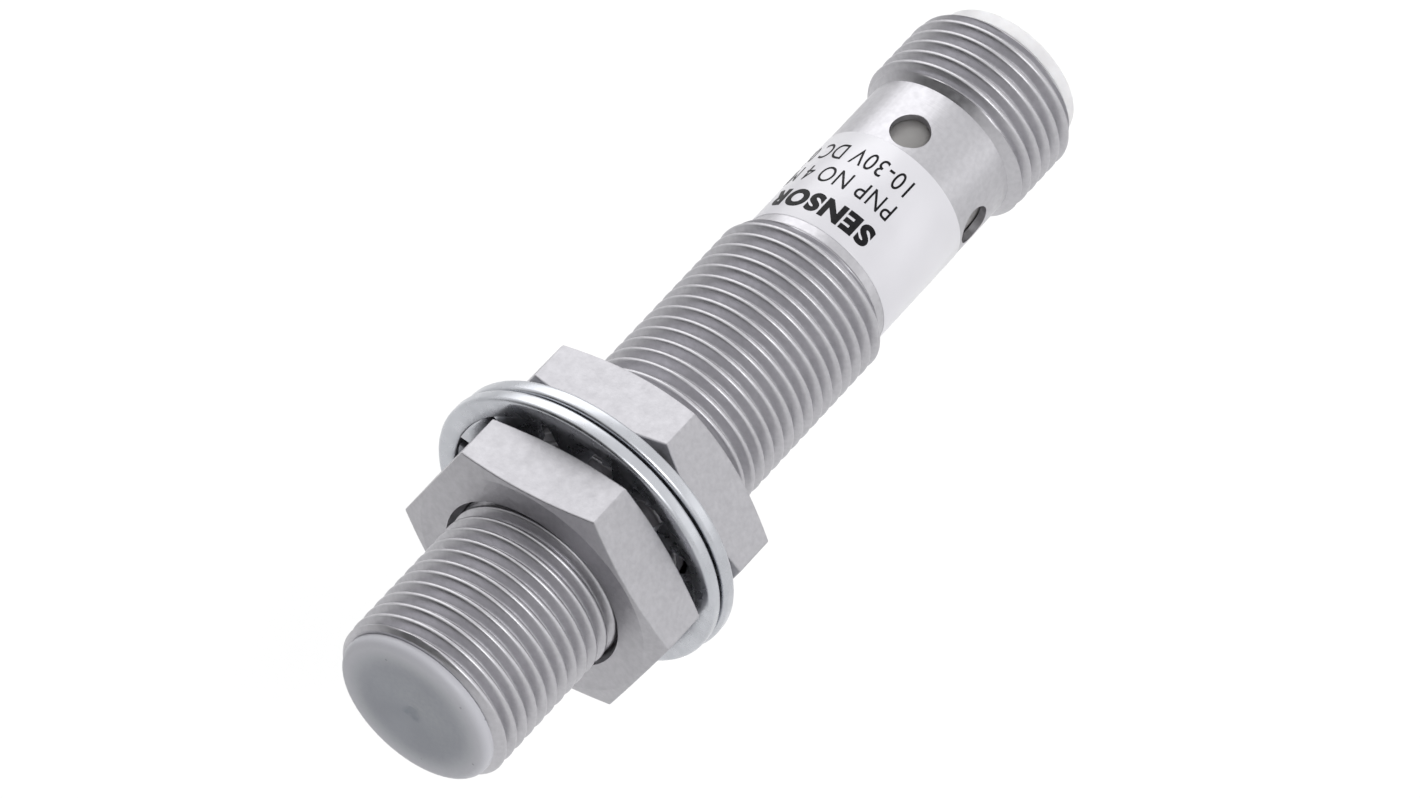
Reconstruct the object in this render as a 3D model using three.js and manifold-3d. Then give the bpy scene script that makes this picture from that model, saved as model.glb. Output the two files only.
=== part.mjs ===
// M12 inductive proximity sensor with a male M12 connector, two lock nuts and two toothed lock washers.
// Millimetres, +Z up. +X runs along the barrel axis from the sensing face at x = 0 to the connector.
// An angle round the axis is counted from +Z towards -Y, which is a positive turn about +X.
import * as THREE from 'three';
import { mergeVertices } from 'three/addons/utils/BufferGeometryUtils.js';
import Module from 'manifold-3d';

const wasm = await Module();
wasm.setup();

// ---- driving dimensions ----
const THREAD_RADIUS = 5.98;
const NECK_RADIUS = 5.25;
const BORE_RADIUS = 4.9;
const REAR_BORE_RADIUS = 4.75;
const BARREL_FRONT = 0.75;
const MAIN_THREAD_END = 40.15;
const REAR_BORE_START = 46.4;
const CONNECTOR_THREAD_START = 53.8;
const BARREL_END = 60.2;
const TOTAL_LENGTH = 61.4;
const FACE_LAND_RADIUS = 5.69;
const FACE_CHAMFER = 0.3;
const THREAD_END_CHAMFER = 0.45;
const BARREL_END_RADIUS = 5.38;

const WINDOW = { x: 50.35, radius: 1.3, count: 4, firstAngle: 3.5, drillStart: 4, drillEnd: 6 };

const CAP = {
  radius: 5.47, edgeRound: 0.55, rimEnd: 0.7, wall: 1.0, skirtOuter: 4.8, skirtInner: 4.5, skirtEnd: 5.0,
};

const NUT = { acrossFlats: 17, thickness: 4, cornerAngle: 26.7, boreRadius: 6.2, mouthRadius: 6.38 };
const FRONT_NUT = { front: 11.87, chamferRadius: 8.28, chamferDegrees: 15 };
const REAR_NUT = { front: 19.02, chamferRadius: 8.4, chamferDegrees: 22 };

const WASHER = {
  outer: 10.25, ringInner: 8.85, toothInner: 6.65, thickness: 1.0, edge: 0.2,
  teeth: 12, toothRootWidth: 2.2, toothTipWidth: 1.5, toothThickness: 0.75, twistDegrees: 20,
  rootOverlap: 0.4, twistLength: 0.8, restAngle: -64.7,
};
const FRONT_WASHER = { middle: 16.95, toothAngle: 0, play: 0.3 };
const REAR_WASHER = { middle: 18.11, toothAngle: 15, play: 0.1 };

const LABEL = { start: 40.75, end: 48.8, inner: 5.27, outer: 5.34, seamWidth: 0.4, seamAngle: 205 };

const CORE = { front: 1.3, length: 3.5, radius: 4.1, postRadius: 1.7, grooveOuter: 3.6, grooveDepth: 2.6 };
const BOBBIN = { front: 1.45, back: 3.7, inner: 1.82, hub: 2.05, flange: 3.45, flangeThickness: 0.2 };
const SHIELD = { inner: 4.2, outer: 4.4, front: 1.35, back: 4.9 };
const HOLDER = { front: 5.0, back: 8.6, radius: 4.3, slotStart: 6.6 };
const CAP_SEAL = { x: 5.5, radius: 4.62, section: 0.22 };

const BOARD = { start: 6.8, end: 46.6, halfWidth: 3.9, thickness: 0.8 };
const LEAD = { radius: 0.13, y: 2.9, z: 0.62, start: 3.85, end: 10.3, holeRadius: 0.4 };
const BOARD_SEAT_GAP = 0.03;
// What is soldered to the top (side 1) or the bottom (side -1) of the board, in millimetres.
const BOARD_PARTS = [
  { name: 'oscillator_chip', x: 17, length: 4.9, width: 3.9, height: 1.4, side: 1, finish: 'blackPlastic' },
  { name: 'output_transistor', x: 27, length: 2.9, width: 1.6, height: 1.1, side: 1, finish: 'blackPlastic' },
  { name: 'protection_diode', x: 33, length: 3.6, width: 2.6, height: 1.5, side: -1, finish: 'blackPlastic' },
  { name: 'surge_suppressor', x: 34, length: 4.2, width: 2.5, height: 1.5, side: 1, finish: 'ceramic' },
  { name: 'resonance_capacitor', x: 13, length: 2.0, width: 1.25, height: 0.9, side: -1, finish: 'ceramic' },
  { name: 'supply_capacitor', x: 40, length: 3.2, width: 1.6, height: 1.2, side: -1, finish: 'ceramic' },
  { name: 'trimming_resistor', x: 21, length: 2.0, width: 1.25, height: 0.5, side: -1, finish: 'blackPlastic' },
  { name: 'status_led_top', x: 45.2, length: 1.6, width: 0.9, height: 0.7, side: 1, finish: 'amber' },
  { name: 'status_led_bottom', x: 45.2, length: 1.6, width: 0.9, height: 0.7, side: -1, finish: 'amber' },
];
const POTTING = { start: 10.8, end: 43.6, radius: 4.7, channelHalfWidth: 3.3, channelHalfHeight: 2.2 };

const CARRIER = {
  front: 47.5, radius: 4.65, floor: 51.9, socketRadius: 4.3, rimRadius: 5.1, rimStart: 60.3, rimRound: 0.3,
  mouthChamfer: 0.2, noseChamfer: 0.3, grooveDepth: 0.45, grooveStart: 0.6, grooveEnd: 1.2,
};
const CARRIER_SEAL = { x: 48.4, radius: 4.47, section: 0.22 };
const PIN = {
  radius: 0.5, circle: 2.5, tip: 59.8, shoulder: 47.1, tailRadius: 0.25, tailX: 45.7, padGap: 0.08, holeRadius: 0.62,
};
const PIN_ANGLES = [-45, 45, 135, 225];
const KEY = { width: 1.1, height: 0.7, back: 58.6 };
const GAP = 0.1;
const RESIN_GAP = 0.15;
const KEY_OVERLAP = 0.15;
const CUT_BEYOND = 1;

const FINE = 60;
const MEDIUM = 30;
const COARSE = 18;
const PIN_SIDES = 12;

const FINISH = {
  satinNickel: { color: 0x9b9b9f, roughness: 0.38, metalness: 1 },
  brightZinc: { color: 0xc9cbd0, roughness: 0.16, metalness: 1 },
  capPlastic: { color: 0x9ba0aa, roughness: 0.5, metalness: 0 },
  clearPlastic: { color: 0xe6e6e2, roughness: 0.35, metalness: 0 },
  labelFilm: { color: 0xeeeeef, roughness: 0.3, metalness: 0 },
  blackRubber: { color: 0x1c1c1d, roughness: 0.8, metalness: 0 },
  ferrite: { color: 0x2d2c2b, roughness: 0.75, metalness: 0 },
  copper: { color: 0xb4633a, roughness: 0.35, metalness: 1 },
  brass: { color: 0xc9a75a, roughness: 0.35, metalness: 1 },
  bobbinPlastic: { color: 0xd8d2c2, roughness: 0.55, metalness: 0 },
  blackPlastic: { color: 0x232325, roughness: 0.55, metalness: 0 },
  boardGreen: { color: 0x1f5b3a, roughness: 0.5, metalness: 0 },
  resin: { color: 0x3a3f45, roughness: 0.4, metalness: 0 },
  ceramic: { color: 0xa98d6b, roughness: 0.6, metalness: 0 },
  amber: { color: 0xf0b23c, roughness: 0.25, metalness: 0 },
  goldPlate: { color: 0xd9b45b, roughness: 0.22, metalness: 1 },
};

// ---- solids ----
const radians = THREE.MathUtils.degToRad;

// A closed three.js geometry as a solid. Points that meet are joined and collapsed triangles dropped.
function solid(geometry) {
  const bare = geometry.index ? geometry.clone() : geometry;
  bare.deleteAttribute('normal');
  bare.deleteAttribute('uv');
  const merged = mergeVertices(bare, 1e-4);
  const position = merged.attributes.position;
  const corner = [0, 1, 2].map(() => new THREE.Vector3());
  const triangles = [];
  let volume = 0;
  for (let i = 0; i < merged.index.count; i += 3) {
    const ids = [0, 1, 2].map((k) => merged.index.getX(i + k));
    if (new Set(ids).size < 3) continue;
    ids.forEach((id, k) => corner[k].fromBufferAttribute(position, id));
    volume += corner[0].dot(corner[1].clone().cross(corner[2]));
    triangles.push(ids);
  }
  const facingOut = volume > 0 ? triangles : triangles.map(([a, b, c]) => [a, c, b]);
  return new wasm.Manifold(new wasm.Mesh({
    numProp: 3,
    vertProperties: Float32Array.from(position.array),
    triVerts: Uint32Array.from(facingOut.flat()),
  }));
}

// A [x, radius] outline turned about the X axis. It closes on itself unless both ends are on the axis.
function turned(outline, segments) {
  const onAxis = outline[0][1] === 0 && outline.at(-1)[1] === 0;
  const closed = onAxis ? outline : [...outline, outline[0]];
  const lathe = new THREE.LatheGeometry(closed.map(([x, r]) => new THREE.Vector2(r, x)), segments);
  return solid(lathe.rotateZ(-Math.PI / 2));
}

// Points of a circular arc in an [x, radius] outline, with angles counted from +X towards the radius.
function arc(x, r, radius, fromDegrees, toDegrees, steps) {
  return Array.from({ length: steps + 1 }, (_, i) => {
    const angle = radians(THREE.MathUtils.lerp(fromDegrees, toDegrees, i / steps));
    return [x + radius * Math.cos(angle), r + radius * Math.sin(angle)];
  });
}

function block(x0, x1, y0, y1, z0, z1) {
  const box = new THREE.BoxGeometry(x1 - x0, y1 - y0, z1 - z0);
  return solid(box.translate((x0 + x1) / 2, (y0 + y1) / 2, (z0 + z1) / 2));
}

// A round bar from one point to another.
function bar(from, to, radius, sides) {
  const start = new THREE.Vector3(...from);
  const along = new THREE.Vector3(...to).sub(start);
  const rod = new THREE.CylinderGeometry(radius, radius, along.length(), sides);
  const turn = new THREE.Quaternion().setFromUnitVectors(new THREE.Vector3(0, 1, 0), along.clone().normalize());
  return solid(rod.applyQuaternion(turn).translate(...start.addScaledVector(along, 0.5)));
}

// The point at a distance x along the axis, a radius out and an angle round it.
function around(x, radius, degrees) {
  return [x, -radius * Math.sin(radians(degrees)), radius * Math.cos(radians(degrees))];
}

function turnAboutAxis(shape, degrees) {
  return shape.rotate([degrees, 0, 0]);
}

function tube(x0, x1, inner, outer, segments) {
  return turned([[x0, inner], [x0, outer], [x1, outer], [x1, inner]], segments);
}

function roundRing({ x, radius, section }) {
  return turned(arc(x, radius, section, 0, 300, 5), MEDIUM);
}

// ---- housing ----
function barrelHousing() {
  const body = turned([
    [BARREL_FRONT, BORE_RADIUS],
    [BARREL_FRONT, FACE_LAND_RADIUS],
    [BARREL_FRONT + FACE_CHAMFER, THREAD_RADIUS],
    [MAIN_THREAD_END - THREAD_END_CHAMFER, THREAD_RADIUS],
    [MAIN_THREAD_END, NECK_RADIUS],
    [CONNECTOR_THREAD_START, NECK_RADIUS],
    [CONNECTOR_THREAD_START + THREAD_END_CHAMFER, THREAD_RADIUS],
    [BARREL_END - THREAD_END_CHAMFER, THREAD_RADIUS],
    [BARREL_END, BARREL_END_RADIUS],
    [BARREL_END, REAR_BORE_RADIUS],
    [REAR_BORE_START, REAR_BORE_RADIUS],
    [REAR_BORE_START, BORE_RADIUS],
  ], FINE);
  let drilled = body;
  for (let i = 0; i < WINDOW.count; i += 1) {
    const degrees = WINDOW.firstAngle + (360 * i) / WINDOW.count;
    const from = around(WINDOW.x, WINDOW.drillStart, degrees);
    const drill = bar(from, around(WINDOW.x, WINDOW.drillEnd, degrees), WINDOW.radius, COARSE);
    drilled = drilled.subtract(drill);
  }
  return drilled;
}

function sensingCap() {
  const { radius, edgeRound, rimEnd, wall, skirtOuter, skirtInner, skirtEnd } = CAP;
  return turned([
    [0, 0],
    ...arc(edgeRound, radius - edgeRound, edgeRound, 180, 90, 4),
    [rimEnd, radius],
    [rimEnd, skirtOuter],
    [skirtEnd, skirtOuter],
    [skirtEnd, skirtInner],
    [wall, skirtInner],
    [wall, 0],
  ], FINE);
}

function wrapLabel() {
  const film = tube(LABEL.start, LABEL.end, LABEL.inner, LABEL.outer, FINE);
  const half = LABEL.seamWidth / 2;
  const seam = block(LABEL.start - CUT_BEYOND, LABEL.end + CUT_BEYOND, -half, half,
    LABEL.inner - CUT_BEYOND, LABEL.outer + CUT_BEYOND);
  return film.subtract(turnAboutAxis(seam, LABEL.seamAngle));
}

// ---- mounting hardware ----
function hexNut({ front, chamferRadius, chamferDegrees }) {
  const back = front + NUT.thickness;
  const corner = NUT.acrossFlats / Math.sqrt(3);
  const blank = new THREE.CylinderGeometry(corner, corner, NUT.thickness, 6);
  const hexagon = solid(blank.rotateZ(-Math.PI / 2).translate(front + NUT.thickness / 2, 0, 0));
  const drop = (corner - chamferRadius) * Math.tan(radians(chamferDegrees));
  const chamfers = turned([
    [front, 0],
    [front, chamferRadius],
    [front + drop, corner + 0.001],
    [back - drop, corner + 0.001],
    [back, chamferRadius],
    [back, 0],
  ], FINE);
  const mouth = NUT.mouthRadius - NUT.boreRadius;
  const bore = turned([
    [front - CUT_BEYOND, 0],
    [front - CUT_BEYOND, NUT.mouthRadius],
    [front, NUT.mouthRadius],
    [front + mouth, NUT.boreRadius],
    [back - mouth, NUT.boreRadius],
    [back, NUT.mouthRadius],
    [back + CUT_BEYOND, NUT.mouthRadius],
    [back + CUT_BEYOND, 0],
  ], MEDIUM);
  return turnAboutAxis(hexagon, NUT.cornerAngle).intersect(chamfers).subtract(bore);
}

// One tooth along +Z: it narrows towards its tip and twists more and more about its own radius.
function twistedTooth() {
  const { ringInner, toothInner, toothRootWidth, toothTipWidth, toothThickness } = WASHER;
  const root = ringInner + WASHER.rootOverlap;
  const tooth = new THREE.BoxGeometry(toothThickness, 1, root - toothInner, 1, 1, 4);
  tooth.translate(0, 0, (root + toothInner) / 2);
  const position = tooth.attributes.position;
  const point = new THREE.Vector3();
  const radius = new THREE.Vector3(0, 0, 1);
  for (let i = 0; i < position.count; i += 1) {
    point.fromBufferAttribute(position, i);
    const towardsTip = (root - point.z) / (root - toothInner);
    point.y *= THREE.MathUtils.lerp(toothRootWidth, toothTipWidth, towardsTip);
    const twisted = THREE.MathUtils.smoothstep(towardsTip, 0, WASHER.twistLength);
    point.applyAxisAngle(radius, radians(WASHER.twistDegrees) * twisted);
    position.setXYZ(i, point.x, point.y, point.z);
  }
  return solid(tooth);
}

// A flat ring with teeth on its inside whose twisted edges bite into the nut and the bracket.
function toothedWasher({ middle, toothAngle, play }) {
  const half = WASHER.thickness / 2;
  const { outer, ringInner, edge, teeth } = WASHER;
  let washer = turned([
    [-half, ringInner],
    [-half, outer - edge],
    [-half + edge, outer],
    [half - edge, outer],
    [half, outer - edge],
    [half, ringInner],
  ], FINE);
  const tooth = twistedTooth();
  for (let i = 0; i < teeth; i += 1) {
    washer = washer.add(turnAboutAxis(tooth, toothAngle + (360 * i) / teeth));
  }
  const [, y, z] = around(0, play, WASHER.restAngle);
  return washer.translate([middle, y, z]);
}

// ---- sensing head ----
function ferriteCore() {
  const back = CORE.front + CORE.length;
  const floor = CORE.front + CORE.grooveDepth;
  const core = turned([
    [CORE.front, 0],
    [CORE.front, CORE.postRadius],
    [floor, CORE.postRadius],
    [floor, CORE.grooveOuter],
    [CORE.front, CORE.grooveOuter],
    [CORE.front, CORE.radius],
    [back, CORE.radius],
    [back, 0],
  ], MEDIUM);
  return pierceForLeads(core);
}

function pierceForLeads(shape) {
  const start = CORE.front + CORE.grooveDepth - GAP;
  const end = HOLDER.back + CUT_BEYOND;
  let pierced = shape;
  for (const side of [-1, 1]) {
    const hole = bar([start, side * LEAD.y, LEAD.z], [end, side * LEAD.y, LEAD.z], LEAD.holeRadius, PIN_SIDES);
    pierced = pierced.subtract(hole);
  }
  return pierced;
}

function coilBobbin() {
  const { front, back, inner, hub, flange, flangeThickness } = BOBBIN;
  return turned([
    [front, inner],
    [front, flange],
    [front + flangeThickness, flange],
    [front + flangeThickness, hub],
    [back - flangeThickness, hub],
    [back - flangeThickness, flange],
    [back, flange],
    [back, inner],
  ], MEDIUM);
}

function coilWinding() {
  const start = BOBBIN.front + BOBBIN.flangeThickness + GAP;
  const end = BOBBIN.back - BOBBIN.flangeThickness - GAP;
  return tube(start, end, BOBBIN.hub + GAP, BOBBIN.flange - GAP, MEDIUM);
}

// The disc that centres the core and grips the front edge of the board in a slot.
function coilHolder() {
  const disc = turned([
    [HOLDER.front, 0],
    [HOLDER.front, HOLDER.radius],
    [HOLDER.back, HOLDER.radius],
    [HOLDER.back, 0],
  ], MEDIUM);
  const halfSlot = BOARD.thickness / 2 + GAP;
  const slot = block(HOLDER.slotStart, HOLDER.back + CUT_BEYOND, -BOARD.halfWidth - GAP, BOARD.halfWidth + GAP,
    -halfSlot, halfSlot);
  return pierceForLeads(disc).subtract(slot);
}

function coilLead(side) {
  return bar([LEAD.start, side * LEAD.y, LEAD.z], [LEAD.end, side * LEAD.y, LEAD.z], LEAD.radius, PIN_SIDES);
}

// ---- electronics ----
function boardPart({ x, length, width, height, side }) {
  const seat = BOARD.thickness / 2 + BOARD_SEAT_GAP;
  const [low, high] = side > 0 ? [seat, seat + height] : [-seat - height, -seat];
  return block(x - length / 2, x + length / 2, -width / 2, width / 2, low, high);
}

function pottingResin() {
  const { start, end, radius, channelHalfWidth, channelHalfHeight } = POTTING;
  const plug = turned([[start, 0], [start, radius], [end, radius], [end, 0]], MEDIUM);
  const [low, high] = [start - CUT_BEYOND, end + CUT_BEYOND];
  const channel = block(low, high, -channelHalfWidth, channelHalfWidth, -channelHalfHeight, channelHalfHeight);
  const halfSlot = BOARD.thickness / 2 + RESIN_GAP;
  const halfSlotWidth = BOARD.halfWidth + RESIN_GAP;
  const boardSlot = block(low, high, -halfSlotWidth, halfSlotWidth, -halfSlot, halfSlot);
  return plug.subtract(channel).subtract(boardSlot);
}

// ---- connector ----
function contactCarrier() {
  const { front, radius, floor, socketRadius, rimRadius, rimStart, rimRound, mouthChamfer, noseChamfer } = CARRIER;
  const grooveRadius = radius - CARRIER.grooveDepth;
  const [grooveStart, grooveEnd] = [front + CARRIER.grooveStart, front + CARRIER.grooveEnd];
  let carrier = turned([
    [front, 0],
    [front, radius - noseChamfer],
    [front + noseChamfer, radius],
    [grooveStart, radius],
    [grooveStart, grooveRadius],
    [grooveEnd, grooveRadius],
    [grooveEnd, radius],
    [rimStart, radius],
    [rimStart, rimRadius],
    ...arc(TOTAL_LENGTH - rimRound, rimRadius - rimRound, rimRound, 90, 0, 3),
    [TOTAL_LENGTH, socketRadius + mouthChamfer],
    [TOTAL_LENGTH - mouthChamfer, socketRadius],
    [floor, socketRadius],
    [floor, 0],
  ], FINE);
  carrier = carrier.add(block(floor - KEY_OVERLAP, KEY.back, -KEY.width / 2, KEY.width / 2,
    socketRadius - KEY.height, socketRadius + KEY_OVERLAP));
  for (const degrees of PIN_ANGLES) {
    const from = around(front - CUT_BEYOND, PIN.circle, degrees);
    const hole = bar(from, around(floor + CUT_BEYOND, PIN.circle, degrees), PIN.holeRadius, COARSE);
    carrier = carrier.subtract(hole);
  }
  return carrier;
}

// A round contact with a domed tip, and a thinner tail bent in to its pad on the board.
function contactPin(degrees) {
  const { radius, circle, tip, shoulder, tailRadius, tailX, padGap } = PIN;
  const contact = turned([
    [shoulder, 0],
    [shoulder, radius],
    [tip - radius, radius],
    ...arc(tip - radius, 0, radius, 60, 0, 2),
  ], PIN_SIDES);
  const [, y, z] = around(0, circle, degrees);
  const padZ = Math.sign(z) * (BOARD.thickness / 2 + tailRadius + padGap);
  const tail = bar([tailX, y, padZ], [shoulder + tailRadius, y, z], tailRadius, PIN_SIDES);
  return contact.translate([0, y, z]).add(tail);
}

// ---- scene graph ----
const group = new THREE.Group();

function place(name, shape, finish) {
  const { vertProperties, triVerts } = shape.getMesh();
  const geometry = new THREE.BufferGeometry();
  geometry.setAttribute('position', new THREE.BufferAttribute(Float32Array.from(vertProperties), 3));
  geometry.setIndex(new THREE.BufferAttribute(Uint32Array.from(triVerts), 1));
  geometry.computeVertexNormals();
  const mesh = new THREE.Mesh(geometry, new THREE.MeshStandardMaterial(FINISH[finish]));
  mesh.name = name;
  group.add(mesh);
}

place('barrel_housing', barrelHousing(), 'satinNickel');
place('sensing_cap', sensingCap(), 'capPlastic');
place('cap_seal_ring', roundRing(CAP_SEAL), 'blackRubber');
place('wrap_label', wrapLabel(), 'labelFilm');

place('front_nut', hexNut(FRONT_NUT), 'satinNickel');
place('rear_nut', hexNut(REAR_NUT), 'satinNickel');
place('front_washer', toothedWasher(FRONT_WASHER), 'brightZinc');
place('rear_washer', toothedWasher(REAR_WASHER), 'brightZinc');

place('ferrite_core', ferriteCore(), 'ferrite');
place('coil_bobbin', coilBobbin(), 'bobbinPlastic');
place('coil_winding', coilWinding(), 'copper');
place('shield_ring', tube(SHIELD.front, SHIELD.back, SHIELD.inner, SHIELD.outer, MEDIUM), 'brass');
place('coil_holder', coilHolder(), 'blackPlastic');
place('coil_lead_left', coilLead(-1), 'copper');
place('coil_lead_right', coilLead(1), 'copper');

const halfBoard = BOARD.thickness / 2;
place('circuit_board', block(BOARD.start, BOARD.end, -BOARD.halfWidth, BOARD.halfWidth, -halfBoard, halfBoard),
  'boardGreen');
BOARD_PARTS.forEach((part) => place(part.name, boardPart(part), part.finish));
place('potting_resin', pottingResin(), 'resin');

place('contact_carrier', contactCarrier(), 'clearPlastic');
place('carrier_seal_ring', roundRing(CARRIER_SEAL), 'blackRubber');
PIN_ANGLES.forEach((degrees, i) => place(`contact_pin_${i + 1}`, contactPin(degrees), 'goldPlate'));

export default group;
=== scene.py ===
import math

import bmesh
import bpy
from mathutils import Matrix, Vector


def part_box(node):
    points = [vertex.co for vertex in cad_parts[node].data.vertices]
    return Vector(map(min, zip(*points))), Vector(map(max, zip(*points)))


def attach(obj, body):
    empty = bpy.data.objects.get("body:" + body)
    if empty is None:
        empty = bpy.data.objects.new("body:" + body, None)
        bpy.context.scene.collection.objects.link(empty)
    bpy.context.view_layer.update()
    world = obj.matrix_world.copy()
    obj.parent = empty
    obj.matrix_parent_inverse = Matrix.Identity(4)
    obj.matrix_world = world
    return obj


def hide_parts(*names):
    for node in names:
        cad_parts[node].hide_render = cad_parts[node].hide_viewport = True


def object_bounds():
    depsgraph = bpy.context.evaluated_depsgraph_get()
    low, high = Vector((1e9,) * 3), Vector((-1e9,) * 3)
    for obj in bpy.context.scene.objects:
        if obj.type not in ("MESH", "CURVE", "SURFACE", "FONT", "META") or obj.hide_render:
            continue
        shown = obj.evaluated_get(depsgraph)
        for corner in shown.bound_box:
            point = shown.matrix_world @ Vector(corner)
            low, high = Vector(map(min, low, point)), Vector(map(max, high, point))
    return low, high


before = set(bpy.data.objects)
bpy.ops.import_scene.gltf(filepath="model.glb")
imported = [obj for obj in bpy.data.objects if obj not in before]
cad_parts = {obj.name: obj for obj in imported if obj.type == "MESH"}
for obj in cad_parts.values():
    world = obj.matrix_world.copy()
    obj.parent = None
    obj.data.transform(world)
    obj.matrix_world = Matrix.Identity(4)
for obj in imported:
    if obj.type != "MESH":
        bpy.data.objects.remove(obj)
cad_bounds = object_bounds()
MM = 0.001

# ---- sizes in millimetres; an angle round the barrel is counted from +Z towards -Y ----
# M12x1 threads: each has a crest at the top of the barrel, its +Z side, at the x given here
PITCH = 1.0
CREST_RADIUS = 5.98
ROOT_RADIUS = 5.387
CREST_ROUNDING = 0.19
CREST_AT_TOP = 1.03
CONNECTOR_CREST_AT_TOP = 54.08
MAIN_THREAD_END = 40.15
CONNECTOR_THREAD_START = 53.8
THREAD_END_RADIUS = 5.2
PROFILE_STEPS = 24
COLUMNS = 90
ROWS_PER_PITCH = 20
WELD_DISTANCE = 0.0004

# barrel
FACE_LAND_RADIUS = 5.69
NECK_RADIUS = 5.25
BARREL_END_RADIUS = 5.38
BORE_RADIUS = 4.9
REAR_BORE_RADIUS = 4.75
REAR_BORE_START = 46.4
NECK_OVERLAP = (2.0, 1.0)
CUT_BEYOND = 1.0

# light windows: four round holes in the neck
WINDOW_X = 50.35
WINDOW_RADIUS = 1.3
WINDOW_ANGLES = (3.5, 93.5, 183.5, 273.5)
WINDOW_DRILL = (4.0, 7.0)
WINDOW_COLUMNS = 48
COUNTERSINK = 0.16
COUNTERSINK_DEPTH = 0.05

# sensing cap, with the mark that its moulding gate leaves in the middle
CAP_RADIUS = 5.47
CAP_EDGE = 0.55
CAP_RIM_END = 0.75
CAP_RIM_BREAK = (0.03, 0.04)
CAP_THICKNESS = 1.0
SKIRT_RADIUS = 4.8
SKIRT_INNER = 4.5
SKIRT_END = 5.0
SKIRT_BREAK = 0.1
GATE_DEPTH = 0.06
GATE_INNER = 0.45
GATE_MIDDLE = 0.56
GATE_OUTER = 0.64

# nuts
NUT_ACROSS_FLATS = 17.0
NUT_CORNER_ANGLE = 26.7
NUT_EDGE_BREAK = 0.07
NUT_THREAD_ROOT = 6.04
NUT_THREAD_CREST = 5.47
NUT_MOUTH_RADIUS = 6.38
NUT_MOUTH_SLOPE = 0.4
NUT_BLANK_RADIUS = 12.0
PLUG_BEYOND = 0.5

# toothed lock washers
WASHER_RADIUS = 10.25
WASHER_THICKNESS = 1.0
WASHER_EDGE = 0.3
RING_INNER = 8.85
RING_INNER_EDGE = 0.12
TEETH = 12
TOOTH_INNER = 6.65
TOOTH_OVERLAP = 0.5
TOOTH_THICKNESS = 0.75
TOOTH_TWIST = -24
TOOTH_ROOT_WIDTH = 4.7
TOOTH_TIP_WIDTH = 1.5
TOOTH_EDGE = 0.12
TOOTH_STEPS = 12
ROUND_COLUMNS = 144

# label: a film with a seam at its back, and its print
LABEL_INNER = 5.252
LABEL_OUTER = 5.29
LABEL_LIP = 0.01
LABEL_SLOPE = 0.06
SEAM_ANGLE = 205
SEAM_GAP = 0.4
PRINT_START = 34
PRINT_HEIGHT = 1.45
CAPITAL_SHARE = 0.729
INK_LIFT = 0.004
INK_HALF_THICKNESS = 0.006
PRINT_STRIP = 0.15
PRINT_WELD = 0.00001

# connector insert and contacts
CARRIER_RADIUS = 4.65
CARRIER_CHAMFER = 0.15
SOCKET_RADIUS = 4.3
SOCKET_FLOOR = 51.9
RIM_RADIUS = 5.1
RIM_START = 60.3
RIM_BREAK = 0.05
RIM_ROUNDING = 0.3
MOUTH_ROUNDING = 0.1
KEY_BACK = 58.6
KEY_WIDTH = 1.1
KEY_HEIGHT = 0.9
KEY_REACH = 0.7
KEY_OVERLAP = 0.5
KEY_ROUNDING = 0.12
PIN_ANGLES = (-45, 45, 135, 225)
PIN_CIRCLE = 2.5
PIN_RADIUS = 0.5
PIN_TIP = 59.8
PIN_HOLE_RADIUS = 0.62
PIN_SHOULDER = (0.3, 0.4)
PIN_TAIL = 45.7
PIN_TAIL_RADIUS = 0.25
PIN_TAIL_BREAK = 0.03
PIN_COLUMNS = 32

# colours
BARREL_DARK = "#B2B1B5"
BARREL_LIGHT = "#B9B8BC"
NUT_DARK = "#A7A6AA"
NUT_LIGHT = "#B0AFB3"
ZINC_DARK = "#B4B6BB"
ZINC_LIGHT = "#C0C2C7"
CAP_DARK = "#81848B"
CAP_LIGHT = "#878A91"
# painted sheen: the paler colour painted on the cap's rounded rim
CAP_PAINTED_RIM_SHEEN = "#B0B0B6"
CAP_GATE = "#6C727B"
CAP_SPECK = "#4E4F53"
LABEL_DARK = "#C6C5CA"
LABEL_LIGHT = "#CAC9CE"
INK_DARK = "#0F0F11"
INK_LIGHT = "#1B1B1E"
MILK_DARK = "#DDDCDE"
MILK_LIGHT = "#E6E6E8"
# painted shade: the insert's colour deep in the barrel, behind the light windows
MILK_PAINTED_SHADE = "#8E8C8B"


def length_of(node):
    """A CAD node's first and last x, in millimetres."""
    low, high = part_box(node)
    return low.x / MM, high.x / MM


# ---- mesh making ----
def collect(name, mesh):
    """A new object for a finished mesh, at the origin."""
    piece = bpy.data.objects.new(name, mesh)
    bpy.context.scene.collection.objects.link(piece)
    return piece


def from_bmesh(name, shape):
    """A closed bmesh in millimetres becomes an object in metres with its faces pointing out."""
    bmesh.ops.recalc_face_normals(shape, faces=shape.faces)
    mesh = bpy.data.meshes.new(name)
    shape.to_mesh(mesh)
    shape.free()
    return collect(name, mesh)


def around(x, radius, degrees):
    """The point at x along the axis, radius out and degrees round it."""
    angle = math.radians(degrees)
    return Vector((x, -radius * math.sin(angle), radius * math.cos(angle)))


def arc(x, radius, size, start, end, steps):
    """Points of a round corner in an (x, radius) outline, with angles counted from +X outwards."""
    angles = [math.radians(start + (end - start) * i / steps) for i in range(steps + 1)]
    return [(x + size * math.cos(a), radius + size * math.sin(a)) for a in angles]


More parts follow.
